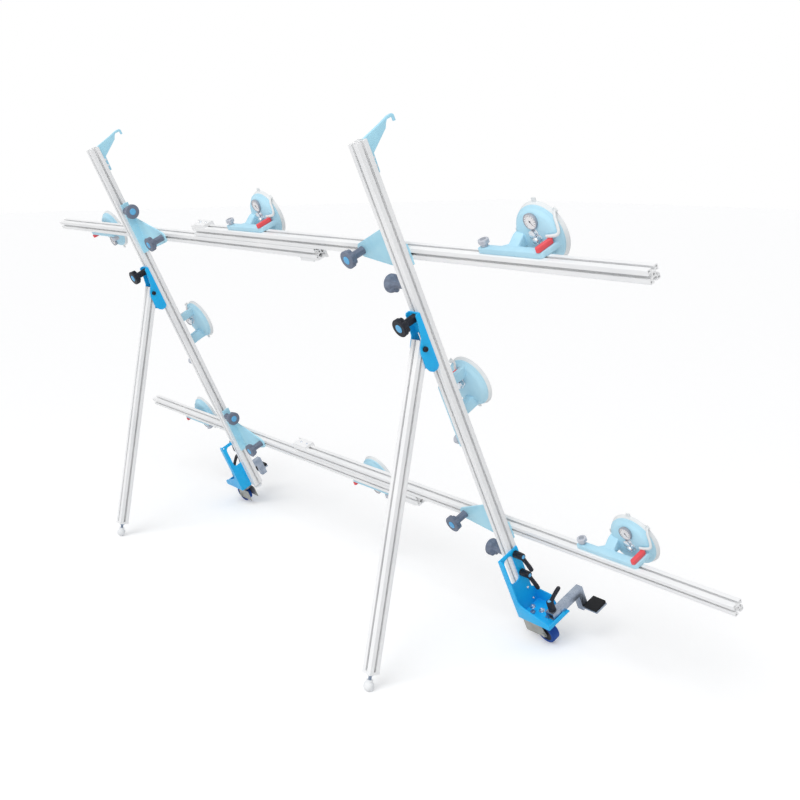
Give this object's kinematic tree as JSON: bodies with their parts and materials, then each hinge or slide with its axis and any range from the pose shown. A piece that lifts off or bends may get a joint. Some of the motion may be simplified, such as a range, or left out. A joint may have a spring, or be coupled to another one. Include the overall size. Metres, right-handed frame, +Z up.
{
  "type": "tile trolley",
  "caption": "Leaning telescopic aluminium frame with suction cups, folding rear legs and swivel castor brackets, for carrying and wheeling one large tile on edge.",
  "frame": {"origin": "centre of the bounding box on the ground", "axes": "+X across the frame along the rails, +Y towards the carried slab, +Z up"},
  "size_m": [3.262, 0.8208, 1.5851],
  "materials": {
    "aluminium": "anodised",
    "pale_blue_metal": "satin paint",
    "pale_blue_plastic": "moulded",
    "white_rubber": "matt",
    "grey_plastic": "fine texture",
    "red_plastic": "moulded",
    "blue_paint": "powder coat",
    "black_plastic": "fine texture",
    "zinc": "zinc plated",
    "black_rubber": "matt",
    "wheel": "dark blue tread, black core",
    "white_plastic": "moulded"
  },
  "bodies": {
    "left_frame": {"left_upright": "aluminium", "left_upright_foot": "white_plastic", "left_hook": "pale_blue_metal", "left_cross_brackets": "pale_blue_metal", "left_cups": "pale_blue_plastic", "left_cup_seals": "white_rubber", "left_cup_knobs": "grey_plastic", "left_steel": "zinc", "left_castor_bracket": "blue_paint", "left_top_rail": "aluminium", "left_bottom_rail": "aluminium"},
    "left_fork": {"left_fork": "zinc"},
    "left_wheel": {"left_wheel": "wheel"},
    "left_upper_lever": {"left_upper_lever": "black_plastic"},
    "left_lower_lever": {"left_lower_lever": "black_plastic"},
    "left_arm": {"left_arm": "zinc", "left_arm_pad": "black_rubber"},
    "left_arm_lever": {"left_arm_lever": "black_plastic"},
    "left_leg_bracket": {"left_leg_bracket": "blue_paint"},
    "left_leg": {"left_leg": "aluminium"},
    "left_leg_foot": {"left_leg_foot": "white_plastic"},
    "left_leg_knob": {"left_leg_knob": "black_plastic"},
    "left_top_tip_knob": {"left_top_tip_knob": "grey_plastic"},
    "left_top_flange_knob": {"left_top_flange_knob": "grey_plastic"},
    "left_bottom_tip_knob": {"left_bottom_tip_knob": "grey_plastic"},
    "left_bottom_flange_knob": {"left_bottom_flange_knob": "grey_plastic"},
    "left_top_cup_lever": {"left_top_cup_lever": "red_plastic"},
    "left_bottom_cup_lever": {"left_bottom_cup_lever": "red_plastic"},
    "left_middle_cup_lever": {"left_middle_cup_lever": "red_plastic"},
    "left_upright_cup_lever": {"left_upright_cup_lever": "red_plastic"},
    "right_frame": {"right_upright": "aluminium", "right_upright_foot": "white_plastic", "right_hook": "pale_blue_metal", "right_cross_brackets": "pale_blue_metal", "right_cups": "pale_blue_plastic", "right_cup_seals": "white_rubber", "right_cup_knobs": "grey_plastic", "right_steel": "zinc", "right_castor_bracket": "blue_paint", "right_top_rail": "aluminium", "right_bottom_rail": "aluminium"},
    "right_fork": {"right_fork": "zinc"},
    "right_wheel": {"right_wheel": "wheel"},
    "right_upper_lever": {"right_upper_lever": "black_plastic"},
    "right_lower_lever": {"right_lower_lever": "black_plastic"},
    "right_arm": {"right_arm": "zinc", "right_arm_pad": "black_rubber"},
    "right_arm_lever": {"right_arm_lever": "black_plastic"},
    "right_leg_bracket": {"right_leg_bracket": "blue_paint"},
    "right_leg": {"right_leg": "aluminium"},
    "right_leg_foot": {"right_leg_foot": "white_plastic"},
    "right_leg_knob": {"right_leg_knob": "black_plastic"},
    "right_top_tip_knob": {"right_top_tip_knob": "grey_plastic"},
    "right_top_flange_knob": {"right_top_flange_knob": "grey_plastic"},
    "right_bottom_tip_knob": {"right_bottom_tip_knob": "grey_plastic"},
    "right_bottom_flange_knob": {"right_bottom_flange_knob": "grey_plastic"},
    "right_top_cup_lever": {"right_top_cup_lever": "red_plastic"},
    "right_bottom_cup_lever": {"right_bottom_cup_lever": "red_plastic"},
    "right_middle_cup_lever": {"right_middle_cup_lever": "red_plastic"},
    "right_upright_cup_lever": {"right_upright_cup_lever": "red_plastic"}
  },
  "joints": [
    {"name": "frame_extension", "type": "slide", "parent": "left_frame", "child": "right_frame", "axis": [1, 0, 0], "range_m": [-0.25, 0.25]},
    {"name": "left_castor_swivel", "type": "hinge", "parent": "left_frame", "child": "left_fork", "pos_m": [-0.879, 0.23497, 0.08692], "axis": [0, -0.4226, 0.9063], "continuous": true},
    {"name": "left_wheel_spin", "type": "hinge", "parent": "left_fork", "child": "left_wheel", "pos_m": [-0.921, 0.25821, 0.03707], "axis": [0, -0.9063, -0.4226], "continuous": true},
    {"name": "left_upper_lever_turn", "type": "hinge", "parent": "left_frame", "child": "left_upper_lever", "pos_m": [-0.849, 0.1774, 0.28847], "axis": [1, 0, 0], "range_deg": [0, 50]},
    {"name": "left_lower_lever_turn", "type": "hinge", "parent": "left_frame", "child": "left_lower_lever", "pos_m": [-0.849, 0.20825, 0.22231], "axis": [1, 0, 0], "range_deg": [0, 50]},
    {"name": "left_arm_slide", "type": "slide", "parent": "left_frame", "child": "left_arm", "axis": [0, -0.9063, -0.4226], "range_m": [-0.03, 0.02]},
    {"name": "left_arm_lever_turn", "type": "hinge", "parent": "left_frame", "child": "left_arm_lever", "pos_m": [-0.956, 0.25128, 0.09453], "axis": [0, -0.4226, 0.9063], "range_deg": [-60, 60]},
    {"name": "left_leg_bracket_slide", "type": "slide", "parent": "left_frame", "child": "left_leg_bracket", "axis": [0, -0.4226, 0.9063], "range_m": [-0.06, 0.03]},
    {"name": "left_leg_fold", "type": "hinge", "parent": "left_leg_bracket", "child": "left_leg", "pos_m": [-0.826, -0.18886, 0.96508], "axis": [1, 0, 0], "range_deg": [0, 35]},
    {"name": "left_leg_foot_turn", "type": "hinge", "parent": "left_leg", "child": "left_leg_foot", "pos_m": [-0.826, -0.36889, 0.016], "axis": [0, -0.1864, -0.9825], "range_deg": [-180, 180]},
    {"name": "left_leg_knob_turn", "type": "hinge", "parent": "left_leg_bracket", "child": "left_leg_knob", "pos_m": [-0.826, -0.19989, 1.05262], "axis": [0, -0.9063, -0.4226], "range_deg": [0, 360]},
    {"name": "left_top_tip_knob_turn", "type": "hinge", "parent": "left_frame", "child": "left_top_tip_knob", "pos_m": [-0.636, -0.21776, 1.19269], "axis": [0, -0.9063, -0.4226], "range_deg": [0, 360]},
    {"name": "left_top_flange_knob_turn", "type": "hinge", "parent": "left_frame", "child": "left_top_flange_knob", "pos_m": [-0.807, -0.28643, 1.28314], "axis": [1, 0, 0], "range_deg": [0, 360]},
    {"name": "left_bottom_tip_knob_turn", "type": "hinge", "parent": "left_frame", "child": "left_bottom_tip_knob", "pos_m": [-0.636, 0.18161, 0.33623], "axis": [0, -0.9063, -0.4226], "range_deg": [0, 360]},
    {"name": "left_bottom_flange_knob_turn", "type": "hinge", "parent": "left_frame", "child": "left_bottom_flange_knob", "pos_m": [-0.807, 0.11295, 0.42668], "axis": [1, 0, 0], "range_deg": [0, 360]},
    {"name": "left_top_cup_lever_turn", "type": "hinge", "parent": "left_frame", "child": "left_top_cup_lever", "pos_m": [-1.332, -0.15289, 1.1766], "axis": [0, -0.4226, 0.9063], "range_deg": [0, 25]},
    {"name": "left_bottom_cup_lever_turn", "type": "hinge", "parent": "left_frame", "child": "left_bottom_cup_lever", "pos_m": [-1.332, 0.24649, 0.32014], "axis": [0, -0.4226, 0.9063], "range_deg": [0, 25]},
    {"name": "left_middle_cup_lever_turn", "type": "hinge", "parent": "left_frame", "child": "left_middle_cup_lever", "pos_m": [-0.02, 0.24649, 0.32014], "axis": [0, -0.4226, 0.9063], "range_deg": [0, 25]},
    {"name": "left_upright_cup_lever_turn", "type": "hinge", "parent": "left_frame", "child": "left_upright_cup_lever", "pos_m": [-0.8695, -0.01025, 0.87072], "axis": [1, 0, 0], "range_deg": [0, 25]},
    {"name": "right_castor_swivel", "type": "hinge", "parent": "right_frame", "child": "right_fork", "pos_m": [0.879, 0.23497, 0.08692], "axis": [0, -0.4226, 0.9063], "continuous": true},
    {"name": "right_wheel_spin", "type": "hinge", "parent": "right_fork", "child": "right_wheel", "pos_m": [0.921, 0.25821, 0.03707], "axis": [0, -0.9063, -0.4226], "continuous": true},
    {"name": "right_upper_lever_turn", "type": "hinge", "parent": "right_frame", "child": "right_upper_lever", "pos_m": [0.849, 0.1774, 0.28847], "axis": [1, 0, 0], "range_deg": [0, 50]},
    {"name": "right_lower_lever_turn", "type": "hinge", "parent": "right_frame", "child": "right_lower_lever", "pos_m": [0.849, 0.20825, 0.22231], "axis": [1, 0, 0], "range_deg": [0, 50]},
    {"name": "right_arm_slide", "type": "slide", "parent": "right_frame", "child": "right_arm", "axis": [0, -0.9063, -0.4226], "range_m": [-0.03, 0.02]},
    {"name": "right_arm_lever_turn", "type": "hinge", "parent": "right_frame", "child": "right_arm_lever", "pos_m": [0.956, 0.25128, 0.09453], "axis": [0, -0.4226, 0.9063], "range_deg": [-60, 60]},
    {"name": "right_leg_bracket_slide", "type": "slide", "parent": "right_frame", "child": "right_leg_bracket", "axis": [0, -0.4226, 0.9063], "range_m": [-0.06, 0.03]},
    {"name": "right_leg_fold", "type": "hinge", "parent": "right_leg_bracket", "child": "right_leg", "pos_m": [0.826, -0.18886, 0.96508], "axis": [1, 0, 0], "range_deg": [0, 35]},
    {"name": "right_leg_foot_turn", "type": "hinge", "parent": "right_leg", "child": "right_leg_foot", "pos_m": [0.826, -0.36889, 0.016], "axis": [0, -0.1864, -0.9825], "range_deg": [-180, 180]},
    {"name": "right_leg_knob_turn", "type": "hinge", "parent": "right_leg_bracket", "child": "right_leg_knob", "pos_m": [0.826, -0.19989, 1.05262], "axis": [0, -0.9063, -0.4226], "range_deg": [0, 360]},
    {"name": "right_top_tip_knob_turn", "type": "hinge", "parent": "right_frame", "child": "right_top_tip_knob", "pos_m": [0.636, -0.23277, 1.22486], "axis": [0, -0.9063, -0.4226], "range_deg": [0, 360]},
    {"name": "right_top_flange_knob_turn", "type": "hinge", "parent": "right_frame", "child": "right_top_flange_knob", "pos_m": [0.807, -0.2186, 1.13768], "axis": [-1, 0, 0], "range_deg": [0, 360]},
    {"name": "right_bottom_tip_knob_turn", "type": "hinge", "parent": "right_frame", "child": "right_bottom_tip_knob", "pos_m": [0.636, 0.16661, 0.3684], "axis": [0, -0.9063, -0.4226], "range_deg": [0, 360]},
    {"name": "right_bottom_flange_knob_turn", "type": "hinge", "parent": "right_frame", "child": "right_bottom_flange_knob", "pos_m": [0.807, 0.18078, 0.28122], "axis": [-1, 0, 0], "range_deg": [0, 360]},
    {"name": "right_top_cup_lever_turn", "type": "hinge", "parent": "right_frame", "child": "right_top_cup_lever", "pos_m": [1.317, -0.20339, 1.2849], "axis": [0, 0.4226, -0.9063], "range_deg": [0, 25]},
    {"name": "right_bottom_cup_lever_turn", "type": "hinge", "parent": "right_frame", "child": "right_bottom_cup_lever", "pos_m": [1.317, 0.19598, 0.42844], "axis": [0, 0.4226, -0.9063], "range_deg": [0, 25]},
    {"name": "right_middle_cup_lever_turn", "type": "hinge", "parent": "right_frame", "child": "right_middle_cup_lever", "pos_m": [0.086, -0.20339, 1.2849], "axis": [0, 0.4226, -0.9063], "range_deg": [0, 25]},
    {"name": "right_upright_cup_lever_turn", "type": "hinge", "parent": "right_frame", "child": "right_upright_cup_lever", "pos_m": [0.7825, -0.01025, 0.87072], "axis": [1, 0, 0], "range_deg": [0, 25]}
  ]
}
